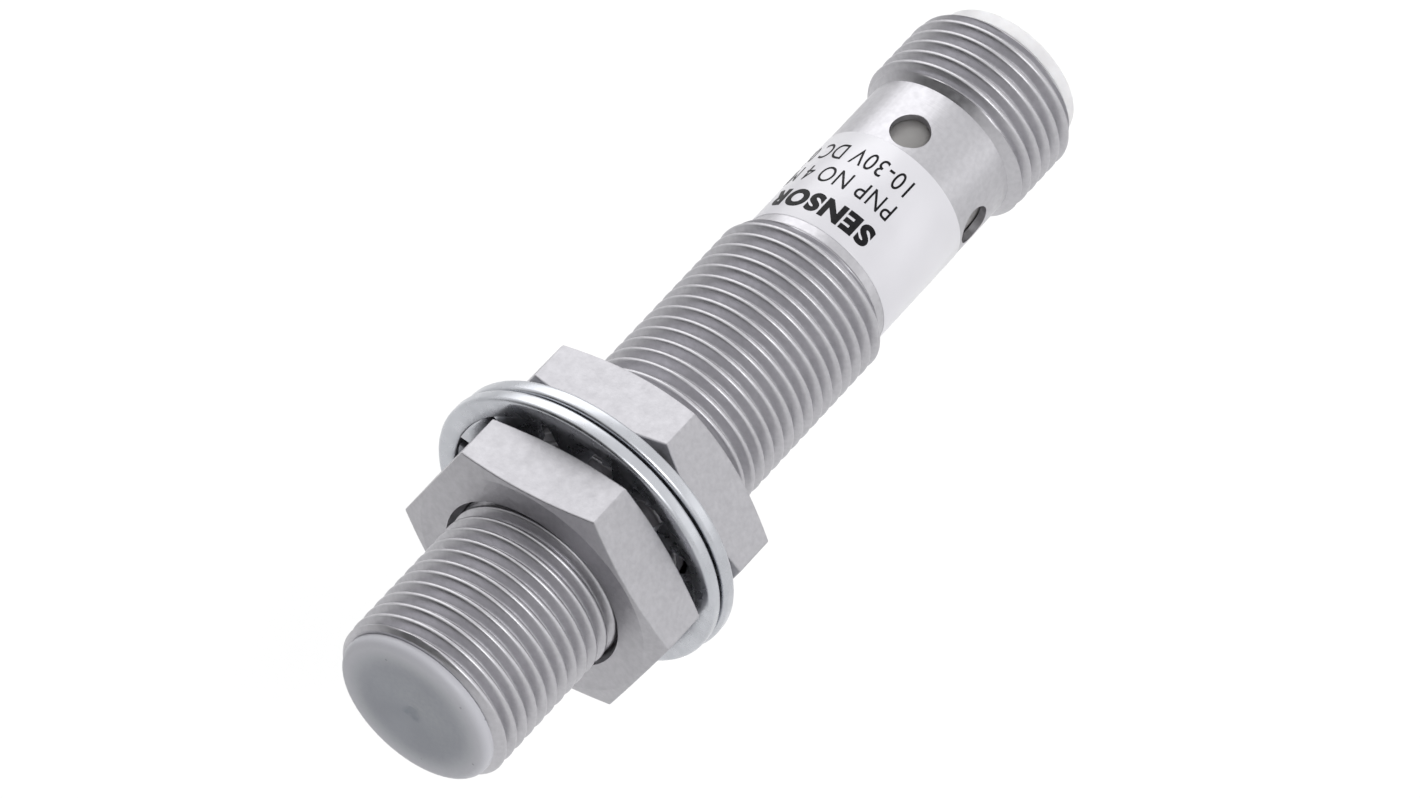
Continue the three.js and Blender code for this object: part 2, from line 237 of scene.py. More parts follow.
def turned(name, outline, columns=COLUMNS):
    """An (x, radius) outline turned about the axis. Points at radius 0 become single poles."""
    shape = bmesh.new()
    rings = []
    for x, radius in outline:
        if radius == 0:
            rings.append([shape.verts.new((x, 0, 0))] * columns)
        else:
            rings.append([shape.verts.new(around(x, radius, 360 * c / columns)) for c in range(columns)])
    pairs = list(zip(rings, rings[1:]))
    if outline[0][1] > 0:
        pairs.append((rings[-1], rings[0]))
    for first, second in pairs:
        for c in range(columns):
            corners = [first[c], first[(c + 1) % columns], second[(c + 1) % columns], second[c]]
            unique = list(dict.fromkeys(corners))
            if len(unique) > 2:
                shape.faces.new(unique)
    return from_bmesh(name, shape)


def combine(base, tools, operation):
    """Cuts the tools from the base, adds them or keeps what they share, and removes the tools."""
    for tool in tools:
        modifier = base.modifiers.new("combine", "BOOLEAN")
        modifier.operation = operation
        modifier.solver = "MANIFOLD"
        modifier.object = tool
    settle(base)
    for tool in tools:
        bpy.data.objects.remove(tool)
    return base


def settle(piece):
    """Turns what the modifiers show into the piece's own mesh, and removes the modifiers."""
    seen = piece.evaluated_get(bpy.context.evaluated_depsgraph_get())
    mesh = bpy.data.meshes.new_from_object(seen)
    piece.modifiers.clear()
    piece.data = mesh
    return piece


def soften(piece, width, segments=2, angle=25):
    """Breaks a piece's sharp edges."""
    bevel = piece.modifiers.new("edge break", "BEVEL")
    bevel.width = width
    bevel.segments = segments
    bevel.limit_method = "ANGLE"
    bevel.angle_limit = math.radians(angle)
    return settle(piece)


def merge(name, pieces):
    """Joins separate closed pieces into one object."""
    shape = bmesh.new()
    for piece in pieces:
        shape.from_mesh(piece.data)
        bpy.data.objects.remove(piece)
    mesh = bpy.data.meshes.new(name)
    shape.to_mesh(mesh)
    shape.free()
    return collect(name, mesh)


# ---- node trees ----
def add_node(tree, kind, inputs=None, **settings):
    """Adds a node, sets its properties, and fills or links its inputs by name or number."""
    node = tree.nodes.new(kind)
    for key, value in settings.items():
        setattr(node, key, value)
    for key, value in (inputs or {}).items():
        if isinstance(value, bpy.types.NodeSocket):
            tree.links.new(value, node.inputs[key])
        else:
            node.inputs[key].default_value = value
    return node


def set_input(modifier, name, value):
    """Sets a Geometry Nodes input by its socket's identifier."""
    for item in modifier.node_group.interface.items_tree:
        if item.item_type == "SOCKET" and item.name == name:
            modifier[item.identifier] = value


def tree_with(name, inputs):
    """A Geometry Nodes tree with named inputs and one geometry output."""
    tree = bpy.data.node_groups.new(name, "GeometryNodeTree")
    tree.is_modifier = True
    tree.interface.new_socket("Geometry", in_out="INPUT", socket_type="NodeSocketGeometry")
    for label, kind in inputs.items():
        tree.interface.new_socket(label, in_out="INPUT", socket_type=f"NodeSocket{kind}")
    tree.interface.new_socket("Geometry", in_out="OUTPUT", socket_type="NodeSocketGeometry")
    return tree, tree.nodes.new("NodeGroupInput").outputs


def finish_tree(tree, geometry, material):
    """Ends a tree: its instances become real and take the material."""
    whole = add_node(tree, "GeometryNodeRealizeInstances", {"Geometry": geometry}).outputs[0]
    made = add_node(tree, "GeometryNodeSetMaterial", {"Geometry": whole, "Material": material}).outputs[0]
    add_node(tree, "NodeGroupOutput", {0: made})


def grown(name, tree, values, seed=None):
    """Runs a Geometry Nodes tree on a piece, or on nothing, and keeps its result as a plain mesh."""
    seed = seed or collect(name, bpy.data.meshes.new(name))
    modifier = seed.modifiers.new(tree.name, "NODES")
    modifier.node_group = tree
    for label, value in values.items():
        set_input(modifier, label, value)
    return settle(seed)


def thread_profile():
    """Half a pitch of a 60 degree thread, from mid crest (0, 1) to mid root (1, 0). Its ends are round."""
    flank = math.sqrt(3)
    depth = CREST_RADIUS - ROOT_RADIUS
    root_rounding = PITCH * flank / 2 - CREST_ROUNDING - depth
    crest_arc = CREST_ROUNDING * flank / 2
    root_arc = root_rounding * flank / 2
    points = []
    for i in range(PROFILE_STEPS + 1):
        from_crest = PITCH / 2 * i / PROFILE_STEPS
        to_root = PITCH / 2 - from_crest
        if from_crest < crest_arc:
            fall = CREST_ROUNDING - math.sqrt(CREST_ROUNDING ** 2 - from_crest ** 2)
        elif to_root > root_arc:
            fall = CREST_ROUNDING / 2 + (from_crest - crest_arc) * flank
        else:
            fall = depth - root_rounding + math.sqrt(root_rounding ** 2 - to_root ** 2)
        points.append((i / PROFILE_STEPS, 1 - fall / depth))
    return points


def thread_tree(name, limit):
    """A helical thread as the skin of a rod. Its limit is MINIMUM for a bolt, which keeps inside its end
    cones, and MAXIMUM for a nut's hollow, which keeps outside them."""
    tree, given = tree_with(name, {
        "Start": "Float", "End": "Float", "Crest at top": "Float", "Crest radius": "Float",
        "Root radius": "Float", "Start radius": "Float", "End radius": "Float", "End slope": "Float",
        "Turns": "Int", "First row": "Float", "Material": "Material",
    })
    position = add_node(tree, "GeometryNodeInputPosition").outputs[0]
    place = add_node(tree, "ShaderNodeSeparateXYZ", {0: position})
    profile = add_node(tree, "ShaderNodeFloatCurve")
    outline = profile.mapping.curves[0]
    for where, rise in thread_profile()[1:-1]:
        outline.points.new(where, rise)
    outline.points[0].location = (0, 1)
    outline.points[-1].location = (1, 0)
    profile.mapping.update()
    known = {socket.name: socket for socket in given if socket.name}
    known.update({"grid x": place.outputs["X"], "grid y": place.outputs["Y"], "rise": profile.outputs[0]})
    # each step: the result's name, the operation, and the values it works on
    steps = [
        ("rows", "MULTIPLY_ADD", "Turns", ROWS_PER_PITCH, 1),
        ("along", "ADD", "grid x", 0.5),
        ("turn", "ADD", "grid y", 0.5),
        ("angle", "MULTIPLY", "turn", math.tau),
        ("lead", "MULTIPLY", "turn", PITCH),
        ("length", "MULTIPLY", "Turns", PITCH),
        ("row", "MULTIPLY_ADD", "along", "length", "First row"),
        ("free x", "ADD", "row", "lead"),
        ("past start", "MAXIMUM", "free x", "Start"),
        ("x", "MINIMUM", "past start", "End"),
        ("from top", "SUBTRACT", "x", "Crest at top"),
        ("from helix", "SUBTRACT", "from top", "lead"),
        ("from crest", "PINGPONG", "from helix", PITCH / 2),
        ("share", "MULTIPLY", "from crest", 2 / PITCH),
        ("depth", "SUBTRACT", "Crest radius", "Root radius"),
        ("thread", "MULTIPLY_ADD", "rise", "depth", "Root radius"),
        ("from start", "SUBTRACT", "x", "Start"),
        ("to end", "SUBTRACT", "End", "x"),
        ("start cone", "MULTIPLY_ADD", "from start", "End slope", "Start radius"),
        ("end cone", "MULTIPLY_ADD", "to end", "End slope", "End radius"),
        ("front limited", limit, "thread", "start cone"),
        ("radius", limit, "front limited", "end cone"),
    ]
    for result, operation, *values in steps:
        sockets = {i: known.get(value, value) for i, value in enumerate(values)}
        known[result] = add_node(tree, "ShaderNodeMath", sockets, operation=operation).outputs[0]
    tree.links.new(known["share"], profile.inputs["Value"])
    grid = add_node(tree, "GeometryNodeMeshGrid", {
        "Size X": 1.0, "Size Y": 1.0, "Vertices X": known["rows"], "Vertices Y": COLUMNS + 1,
    }).outputs["Mesh"]
    straight = add_node(tree, "ShaderNodeCombineXYZ", {"X": known["x"], "Z": known["radius"]}).outputs[0]
    point = add_node(tree, "ShaderNodeVectorRotate", {
        "Vector": straight, "Angle": known["angle"],
    }, rotation_type="X_AXIS").outputs[0]
    bent = add_node(tree, "GeometryNodeSetPosition", {"Geometry": grid, "Position": point}).outputs[0]
    welded = add_node(tree, "GeometryNodeMergeByDistance", {
        "Geometry": bent, "Distance": WELD_DISTANCE,
    }).outputs[0]
    finish_tree(tree, welded, given["Material"])
    return tree


def threaded_rod(name, tree, start, end, crest, values):
    """A closed threaded rod, or the threaded core that a nut's bore leaves, in millimetres."""
    half_row = PITCH / ROWS_PER_PITCH / 2
    first_row = crest + half_row + PITCH * math.floor((start - crest - half_row) / PITCH - 1)
    turns = math.ceil((end - first_row) / PITCH) + 1
    rod = grown(name, tree, {
        "Start": start, "End": end, "Crest at top": crest,
        "First row": first_row, "Turns": turns, **values,
    })
    shape = bmesh.new()
    shape.from_mesh(rod.data)
    rims = [edge for edge in shape.edges if edge.is_boundary]
    bmesh.ops.edgeloop_fill(shape, edges=rims)
    bpy.data.objects.remove(rod)
    return from_bmesh(name, shape)


def repeat_tree():
    """Copies of one shape, spread evenly round the barrel axis."""
    tree, given = tree_with("round the axis", {"Count": "Int", "Material": "Material"})
    single = add_node(tree, "GeometryNodeGeometryToInstance", {0: given["Geometry"]}).outputs[0]
    copies = add_node(tree, "GeometryNodeDuplicateElements", {
        "Geometry": single, "Amount": given["Count"],
    }, domain="INSTANCE").outputs
    step = add_node(tree, "ShaderNodeMath", {0: math.tau, 1: given["Count"]}, operation="DIVIDE").outputs[0]
    angle = add_node(tree, "ShaderNodeMath", {0: copies[1], 1: step}, operation="MULTIPLY").outputs[0]
    turn = add_node(tree, "ShaderNodeCombineXYZ", {"X": angle}).outputs[0]
    placed = add_node(tree, "GeometryNodeRotateInstances", {
        "Instances": copies[0], "Rotation": turn, "Local Space": False,
    }).outputs[0]
    finish_tree(tree, placed, given["Material"])
    return tree


# ---- materials ----
def linear(code):
    """An sRGB hex colour as linear RGBA."""
    colour = []
    for i in (1, 3, 5):
        part = int(code[i:i + 2], 16) / 255
        colour.append(part / 12.92 if part <= 0.04045 else ((part + 0.055) / 1.055) ** 2.4)
    return (*colour, 1.0)


def start_material(name, **sockets):
    """A material with one shader, and its pattern coordinates in millimetres."""
    material = bpy.data.materials.new(name)
    material.use_nodes = True
    tree = material.node_tree
    tree.nodes.clear()
    named = {key.replace("_", " "): value for key, value in sockets.items()}
    shader = add_node(tree, "ShaderNodeBsdfPrincipled", named)
    add_node(tree, "ShaderNodeOutputMaterial", {"Surface": shader.outputs[0]})
    metres = add_node(tree, "ShaderNodeTexCoord").outputs["Object"]
    place = add_node(tree, "ShaderNodeMapping", {"Vector": metres, "Scale": (1 / MM,) * 3}).outputs[0]
    return material, tree, shader, place


def varied(tree, place, low, high, scale, stretch=(1, 1, 1), detail=3.0, spread=(0.35, 0.65)):
    """Noise between two values or two colours. Its scale is in cycles per millimetre."""
    drawn = add_node(tree, "ShaderNodeMapping", {"Vector": place, "Scale": stretch}).outputs[0]
    noise = add_node(tree, "ShaderNodeTexNoise", {
        "Vector": drawn, "Scale": scale, "Detail": detail,
    }).outputs[0]
    if isinstance(low, str):
        ramp = add_node(tree, "ShaderNodeValToRGB", {"Fac": noise})
        for stop, where, colour in zip(ramp.color_ramp.elements, spread, (low, high)):
            stop.position = where
            stop.color = linear(colour)
        return ramp.outputs[0]
    return add_node(tree, "ShaderNodeMapRange", {
        "Value": noise, "From Min": spread[0], "From Max": spread[1], "To Min": low, "To Max": high,
    }).outputs[0]


def coat(tree, shader, tone, rough, height, depth_mm):
    """Gives the shader its colour, its roughness and a relief that is depth_mm deep."""
    relief = add_node(tree, "ShaderNodeBump", {"Height": height, "Distance": depth_mm * MM}).outputs[0]
    for socket, value in (("Base Color", tone), ("Roughness", rough), ("Normal", relief)):
        tree.links.new(value, shader.inputs[socket])


def turned_nickel_plate():
    # nickel-plated turned brass: a satin grey metal with a faint mottle, and fine rings from the lathe
    # tool about 0.15 mm apart
    material, tree, shader, place = start_material("nickel_plated_turned_brass", Metallic=1.0)
    tone = varied(tree, place, BARREL_DARK, BARREL_LIGHT, 3.0, detail=4.0)
    rough = varied(tree, place, 0.36, 0.44, 2.0, detail=4.0)
    rings = varied(tree, place, 0.0, 1.0, 1.0, stretch=(6.5, 0.25, 0.25), detail=2.0, spread=(0, 1))
    coat(tree, shader, tone, rough, rings, 0.008)
    return material


def blasted_nickel_plate():
    # nickel plate over a tumbled brass nut: an even matt grain of about 0.1 mm, drawn at 0.2 mm so that
    # it shows
    material, tree, shader, place = start_material("nickel_plated_tumbled_brass", Metallic=1.0)
    tone = varied(tree, place, NUT_DARK, NUT_LIGHT, 3.0, detail=4.0)
    rough = varied(tree, place, 0.42, 0.5, 1.5, detail=4.0)
    grain = varied(tree, place, 0.0, 1.0, 5.0, detail=2.0, spread=(0, 1))
    coat(tree, shader, tone, rough, grain, 0.012)
    return material


def bright_zinc():
    # bright zinc on stamped spring steel: a soft shine, a little blue, with a rippled barrel-plated skin
    material, tree, shader, place = start_material("bright_zinc_plated_steel", Metallic=1.0)
    tone = varied(tree, place, ZINC_DARK, ZINC_LIGHT, 0.4, detail=3.0)
    rough = varied(tree, place, 0.24, 0.34, 1.2, detail=5.0)
    ripple = varied(tree, place, 0.0, 1.0, 0.5, detail=3.0, spread=(0, 1))
    coat(tree, shader, tone, rough, ripple, 0.02)
    return material


def moulded_pbt():
    # grey moulded PBT: a soft satin sheen over a fine spark-eroded texture, with the odd dark speck.
    # Its rim is painted paler than the middle, a painted sheen for the light its rounded edge catches,
    # and a ragged darker spot marks the moulding gate.
    material, tree, shader, place = start_material("moulded_grey_PBT", IOR=1.5)
    tone = varied(tree, place, CAP_DARK, CAP_LIGHT, 0.35, detail=3.0)
    flat = add_node(tree, "ShaderNodeMapping", {"Vector": place, "Scale": (0, 1, 1)}).outputs[0]
    reach = add_node(tree, "ShaderNodeVectorMath", {0: flat}, operation="LENGTH").outputs["Value"]
    ragged = varied(tree, place, -0.35, 0.35, 1.6, spread=(0.2, 0.8))
    ragged_reach = add_node(tree, "ShaderNodeMath", {0: reach, 1: ragged}, operation="ADD").outputs[0]
    cells = add_node(tree, "ShaderNodeTexVoronoi", {"Vector": place, "Scale": 0.7}).outputs["Distance"]
    # each mark: what it is measured by, where it begins and ends, its strength at both, its fade and
    # its colour
    marks = (
        # painted highlight: the rim is painted paler towards the edge, standing in for its sheen
        (reach, 2.9, 5.75, 0.0, 1.0, "SMOOTHERSTEP", CAP_PAINTED_RIM_SHEEN),
        (ragged_reach, 0.35, 0.75, 0.6, 0.0, "LINEAR", CAP_GATE),
        (cells, 0.04, 0.08, 0.5, 0.0, "LINEAR", CAP_SPECK),
    )
    for value, begin, end, at_begin, at_end, fade, colour in marks:
        share = add_node(tree, "ShaderNodeMapRange", {
            "Value": value, "From Min": begin, "From Max": end, "To Min": at_begin, "To Max": at_end,
        }, interpolation_type=fade).outputs[0]
        tone = add_node(tree, "ShaderNodeMix", {
            "Factor": share, 6: tone, 7: linear(colour),
        }, data_type="RGBA").outputs[2]
    rough = varied(tree, place, 0.38, 0.5, 3.0, detail=3.0)
    grain = varied(tree, place, 0.0, 1.0, 7.0, detail=2.0, spread=(0, 1))
    coat(tree, shader, tone, rough, grain, 0.004)
    return material


def label_film():
    # silver-grey polyester label: a soft gloss under a clear laminate, with a faint grain of about 0.2 mm
    material, tree, shader, place = start_material(
        "silver_polyester_label", Metallic=0.1, IOR=1.55, Coat_Weight=0.4, Coat_Roughness=0.22,
    )
    tone = varied(tree, place, LABEL_DARK, LABEL_LIGHT, 0.3, detail=1.0)
    rough = varied(tree, place, 0.34, 0.4, 0.6, detail=1.0)
    grain = varied(tree, place, 0.0, 1.0, 6.0, detail=1.0, spread=(0, 1))
    coat(tree, shader, tone, rough, grain, 0.001)
    return material


def label_ink():
    # thermal-transfer print: matt and nearly black, a little paler in places
    material, tree, shader, place = start_material(
        "dark_grey_label_print", IOR=1.5, Specular_IOR_Level=0.12,
    )
    tone = varied(tree, place, INK_DARK, INK_LIGHT, 3.0, detail=4.0)
    rough = varied(tree, place, 0.3, 0.45, 2.0)
    tree.links.new(tone, shader.inputs["Base Color"])
    tree.links.new(rough, shader.inputs["Roughness"])
    return material


def milky_plastic():
    # translucent PA moulding: milky white, and painted greyer deep in the barrel, a painted shade for
    # the shadow that the barrel's wall casts round the light windows. The mould leaves a fine grain.
    material, tree, shader, place = start_material(
        "translucent_moulded_PA", IOR=1.52, Transmission_Weight=0.25,
        Subsurface_Weight=0.5, Subsurface_Scale=0.001, Subsurface_Radius=(1.0, 0.95, 0.9),
    )
    milk = varied(tree, place, MILK_DARK, MILK_LIGHT, 0.8, detail=3.0)
    along = add_node(tree, "ShaderNodeSeparateXYZ", {0: place}).outputs["X"]
    # painted shade: the insert turns grey from x 59 down to 52 and below, where the barrel's wall shades it
    window_shade_share = add_node(tree, "ShaderNodeMapRange", {
        "Value": along, "From Min": 52.0, "From Max": 59.0, "To Min": 1.0, "To Max": 0.0,
    }).outputs[0]
    tone = add_node(tree, "ShaderNodeMix", {
        "Factor": window_shade_share, 6: milk, 7: linear(MILK_PAINTED_SHADE),
    }, data_type="RGBA").outputs[2]
    rough = varied(tree, place, 0.28, 0.4, 2.0)
    grain = varied(tree, place, 0.0, 1.0, 5.0, detail=2.0, spread=(0, 1))
    coat(tree, shader, tone, rough, grain, 0.005)
    return material


def plain_material(name, low, high, scale, rough_low, rough_high, depth_mm, stretch=(1, 1, 1), **sockets):
    """A finish whose colour, gloss and surface each vary by noise at one scale."""
    material, tree, shader, place = start_material(name, **sockets)
    tone = varied(tree, place, low, high, scale, stretch)
    rough = varied(tree, place, rough_low, rough_high, scale * 1.7, stretch)
    height = varied(tree, place, 0.0, 1.0, scale * 2.5, stretch, spread=(0, 1))
    coat(tree, shader, tone, rough, height, depth_mm)
    return material


finishes = {
    "nickel_plated_brass": turned_nickel_plate(),
    "nut_nickel": blasted_nickel_plate(),
    "bright_zinc_steel": bright_zinc(),
    "cap_plastic": moulded_pbt(),
    "translucent_plastic": milky_plastic(),
    "label_film": label_film(),
    # nitrile rubber seals: dull black with a dusty bloom
    "black_rubber": plain_material(
        "moulded_nitrile_rubber", "#17181A", "#232426", 2.0, 0.6, 0.75, 0.01, IOR=1.52,
    ),
    # sintered ferrite: dark grey with a gritty, slightly shiny grain of about 0.1 mm
    "ferrite": plain_material("sintered_ferrite", "#2B2A2C", "#3E3C3D", 8.0, 0.35, 0.6, 0.01, IOR=2.2),
    # enamelled copper wire: red-brown metal under a clear varnish
    "copper_wire": plain_material(
        "enamelled_copper", "#B4683C", "#C97B4A", 3.0, 0.2, 0.3, 0.004, Metallic=1.0, Coat_Weight=0.8,
    ),
    # rolled brass strip: yellow metal with rolling lines along the axis
    "shield_brass": plain_material(
        "rolled_brass", "#C6A25A", "#D3B16B", 2.0, 0.22, 0.34, 0.004, stretch=(0.3, 3, 3), Metallic=1.0,
    ),
    # natural PA bobbin: waxy off-white
    "bobbin_plastic": plain_material("natural_PA", "#D8D2C2", "#E2DDCF", 1.0, 0.4, 0.5, 0.005, IOR=1.53),
    # black glass-filled moulding: matt with faint fibre streaks
    "black_plastic": plain_material(
        "glass_filled_black_PA", "#1D1E20", "#2A2B2D", 4.0, 0.45, 0.6, 0.008, stretch=(0.4, 1, 1), IOR=1.53,
    ),
    # FR4 board under green solder mask: smooth, with a soft gloss and faint patches
    "board_laminate": plain_material(
        "solder_masked_FR4", "#1F5A3A", "#2A6B47", 2.5, 0.25, 0.35, 0.006, IOR=1.55,
    ),
    # cast polyurethane resin: dark and glossy, with a faintly rippled skin
    "potting_resin": plain_material(
        "cast_polyurethane", "#26282B", "#303236", 1.2, 0.18, 0.35, 0.02, IOR=1.5,
    ),
    # fired alumina body: chalky and fine grained
    "ceramic": plain_material("fired_ceramic", "#B9A88A", "#C9BA9E", 4.0, 0.5, 0.65, 0.006, IOR=1.76),
    # amber epoxy lens of a status light
    "amber_lens": plain_material(
        "amber_epoxy", "#D98A1E", "#E59A2E", 2.0, 0.1, 0.18, 0.003, IOR=1.5, Transmission_Weight=0.5,
    ),
    # gold flash over nickel: a warm bright metal with fine drawing lines along the pin
    "gold_plate": plain_material(
        "gold_flashed_brass", "#D6AE5C", "#E2BE70", 3.0, 0.14, 0.24, 0.003,
        stretch=(0.2, 3, 3), Metallic=1.0,
    ),
}
ink = label_ink()


def dress(piece, finish, body, nodes=(), material=None, sharp=30):
    """Brings a finished piece to metres and gives it its shading, material, slot, body and CAD nodes."""
    piece.data.transform(Matrix.Scale(MM, 4))
    piece.data.shade_smooth()
    piece.data.set_sharp_from_angle(angle=math.radians(sharp))
    piece.data.materials.clear()
    piece.data.materials.append(material or finishes[finish])
    for face in piece.data.polygons:
        face.material_index = 0
    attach(piece, body)
    if nodes:
        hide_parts(*nodes)


# ---- barrel: two threaded lengths and a bare neck, bored through, with four light windows ----
bolt_thread = thread_tree("bolt thread", "MINIMUM")
nut_thread = thread_tree("nut thread", "MAXIMUM")
round_axis = repeat_tree()


def window_drill(degrees):
    """The drill that opens one light window, with a slight countersink where it breaks the surface."""
    inner, outer = WINDOW_DRILL
    sink = NECK_RADIUS - COUNTERSINK_DEPTH
    wide = WINDOW_RADIUS + COUNTERSINK
    drill = turned("drill", [
        (inner, 0), (inner, WINDOW_RADIUS), (sink, WINDOW_RADIUS), (sink + COUNTERSINK, wide),
        (outer, wide), (outer, 0),
    ], WINDOW_COLUMNS)
    upright = Matrix.Rotation(math.radians(-90), 4, "Y")
    turn = Matrix.Rotation(math.radians(degrees), 4, "X")
    drill.data.transform(Matrix.Translation((WINDOW_X, 0, 0)) @ turn @ upright)
    return drill


def threaded_barrel():
    """The turned tube: its threads and neck are joined, then its bore and windows are cut."""
    start, end = length_of("barrel_housing")
    bolt = {
        "Crest radius": CREST_RADIUS, "Root radius": ROOT_RADIUS,
        "End slope": 1.0, "Material": finishes["nickel_plated_brass"],
    }
    tube = threaded_rod("main_thread", bolt_thread, start, MAIN_THREAD_END, CREST_AT_TOP, {
        **bolt, "Start radius": FACE_LAND_RADIUS, "End radius": THREAD_END_RADIUS,
    })
    tail = threaded_rod("tail_thread", bolt_thread, CONNECTOR_THREAD_START, end, CONNECTOR_CREST_AT_TOP, {
        **bolt, "Start radius": THREAD_END_RADIUS, "End radius": BARREL_END_RADIUS,
    })
    neck_start = MAIN_THREAD_END - NECK_OVERLAP[0]
    neck_end = CONNECTOR_THREAD_START + NECK_OVERLAP[1]
    neck = turned("neck", [
        (neck_start, 0), (neck_start, NECK_RADIUS), (neck_end, NECK_RADIUS), (neck_end, 0),
    ])
    bore = turned("bore", [
        (start - CUT_BEYOND, 0), (start - CUT_BEYOND, BORE_RADIUS), (REAR_BORE_START, BORE_RADIUS),
        (REAR_BORE_START, REAR_BORE_RADIUS), (end + CUT_BEYOND, REAR_BORE_RADIUS), (end + CUT_BEYOND, 0),
    ])
    combine(tube, [neck, tail], "UNION")
    combine(tube, [bore, *[window_drill(angle) for angle in WINDOW_ANGLES]], "DIFFERENCE")
    tube.name = "threaded_barrel"
    dress(tube, "nickel_plated_brass", "housing", ["barrel_housing"], sharp=38)


threaded_barrel()


# ---- sensing cap, with the shallow dimple of its moulding gate ----
break_length, break_depth = CAP_RIM_BREAK
cap_outline = [
    (GATE_DEPTH, 0), (GATE_DEPTH, GATE_INNER), (GATE_DEPTH / 2, GATE_MIDDLE), (0, GATE_OUTER),
    *arc(CAP_EDGE, CAP_RADIUS - CAP_EDGE, CAP_EDGE, 180, 90, 10),
    (CAP_RIM_END - break_length, CAP_RADIUS), (CAP_RIM_END, CAP_RADIUS - break_depth),
    (CAP_RIM_END, SKIRT_RADIUS), (SKIRT_END - SKIRT_BREAK, SKIRT_RADIUS),
    (SKIRT_END, SKIRT_RADIUS - SKIRT_BREAK), (SKIRT_END, SKIRT_INNER),
    (CAP_THICKNESS, SKIRT_INNER), (CAP_THICKNESS, 0),
]
dress(turned("sensing_face_cap", cap_outline), "cap_plastic", "housing", ["sensing_cap"])


# ---- nuts ----
def hexagon(name, front, back):
    """A hexagonal prism in millimetres."""
    shape = bmesh.new()
    corner = NUT_ACROSS_FLATS / math.sqrt(3)
    ends = []
    for x in (front, back):
        ends.append([shape.verts.new(around(x, corner, NUT_CORNER_ANGLE + 60 * k)) for k in range(6)])
    for end in ends:
        shape.faces.new(end)
    for k in range(6):
        n = (k + 1) % 6
        shape.faces.new([ends[0][k], ends[0][n], ends[1][n], ends[1][k]])
    return from_bmesh(name, shape)


def nut(name, node, body, chamfer_radius, chamfer_degrees):
    """A hexagon nut, chamfered on both faces and tapped through."""
    front, back = length_of(node)
    rise = (NUT_BLANK_RADIUS - chamfer_radius) * math.tan(math.radians(chamfer_degrees))
    blank = turned("blank", [
        (front, 0), (front, chamfer_radius), (front + rise, NUT_BLANK_RADIUS),
        (back - rise, NUT_BLANK_RADIUS), (back, chamfer_radius), (back, 0),
    ], ROUND_COLUMNS)
    piece = combine(hexagon(name, front - CUT_BEYOND, back + CUT_BEYOND), [blank], "INTERSECT")
    soften(piece, NUT_EDGE_BREAK)
    mouth = NUT_MOUTH_RADIUS + PLUG_BEYOND * NUT_MOUTH_SLOPE
    plug = threaded_rod("plug", nut_thread, front - PLUG_BEYOND, back + PLUG_BEYOND, CREST_AT_TOP, {
        "Crest radius": NUT_THREAD_ROOT, "Root radius": NUT_THREAD_CREST, "End slope": -NUT_MOUTH_SLOPE,
        "Start radius": mouth, "End radius": mouth, "Material": finishes["nut_nickel"],
    })
    combine(piece, [plug], "DIFFERENCE")
    dress(piece, "nut_nickel", body, [node], sharp=12)


nut("front_hex_nut", "front_nut", "front_lock_nut", chamfer_radius=8.28, chamfer_degrees=15)
nut("rear_hex_nut", "rear_nut", "rear_lock_nut", chamfer_radius=8.4, chamfer_degrees=22)


# ---- toothed lock washers ----
def tooth(name, first_degrees):
    """One inward tooth. It narrows and twists from its root in the ring to its tip."""
    shape = bmesh.new()
    root = RING_INNER + TOOTH_OVERLAP
    thick = TOOTH_THICKNESS / 2
    rings = []
    for i in range(TOOTH_STEPS + 1):
        t = i / TOOTH_STEPS
        radius = root + (TOOTH_INNER - root) * t
        half = (TOOTH_TIP_WIDTH + (TOOTH_ROOT_WIDTH - TOOTH_TIP_WIDTH) * (1 - t) ** 1.5) / 2
        twist = math.radians(TOOTH_TWIST * t * t * (3 - 2 * t))
        ring = []
        for across, along, start in ((1, 1, 0), (-1, 1, 90), (-1, -1, 180), (1, -1, 270)):
            for degrees in range(start, start + 91, 30):
                angle = math.radians(degrees)
                side = across * (half - TOOTH_EDGE) + TOOTH_EDGE * math.cos(angle)
                depth = along * (thick - TOOTH_EDGE) + TOOTH_EDGE * math.sin(angle)
                x = -side * math.sin(twist) + depth * math.cos(twist)
                tangent = side * math.cos(twist) + depth * math.sin(twist)
                ring.append(shape.verts.new((x, -tangent, radius)))
        rings.append(ring)
    for first, second in zip(rings, rings[1:]):
        for k in range(len(first)):
            n = (k + 1) % len(first)
            shape.faces.new([first[k], first[n], second[n], second[k]])
    shape.faces.new(rings[0])
    shape.faces.new(rings[-1])
    piece = from_bmesh(name, shape)
    piece.data.transform(Matrix.Rotation(math.radians(first_degrees), 4, "X"))
    return piece


def washer(name, node, body, first_tooth):
    """A flat ring with twisted teeth on its inside, centred on its CAD node."""
    low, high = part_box(node)
    half = WASHER_THICKNESS / 2
    outer = WASHER_RADIUS - WASHER_EDGE
    inner = RING_INNER + RING_INNER_EDGE
    ring = turned(name, [
        *arc(half - WASHER_EDGE, outer, WASHER_EDGE, 90, 0, 6),
        *arc(half - RING_INNER_EDGE, inner, RING_INNER_EDGE, 360, 270, 3),
        *arc(-half + RING_INNER_EDGE, inner, RING_INNER_EDGE, 270, 180, 3),
        *arc(-half + WASHER_EDGE, outer, WASHER_EDGE, 180, 90, 6),
    ], ROUND_COLUMNS)
    teeth = grown("teeth", round_axis, {
        "Count": TEETH, "Material": finishes["bright_zinc_steel"],
    }, tooth("teeth", first_tooth))
    combine(ring, [teeth], "UNION")
    ring.data.transform(Matrix.Translation((low + high) / 2 / MM))
    dress(ring, "bright_zinc_steel", body, [node])


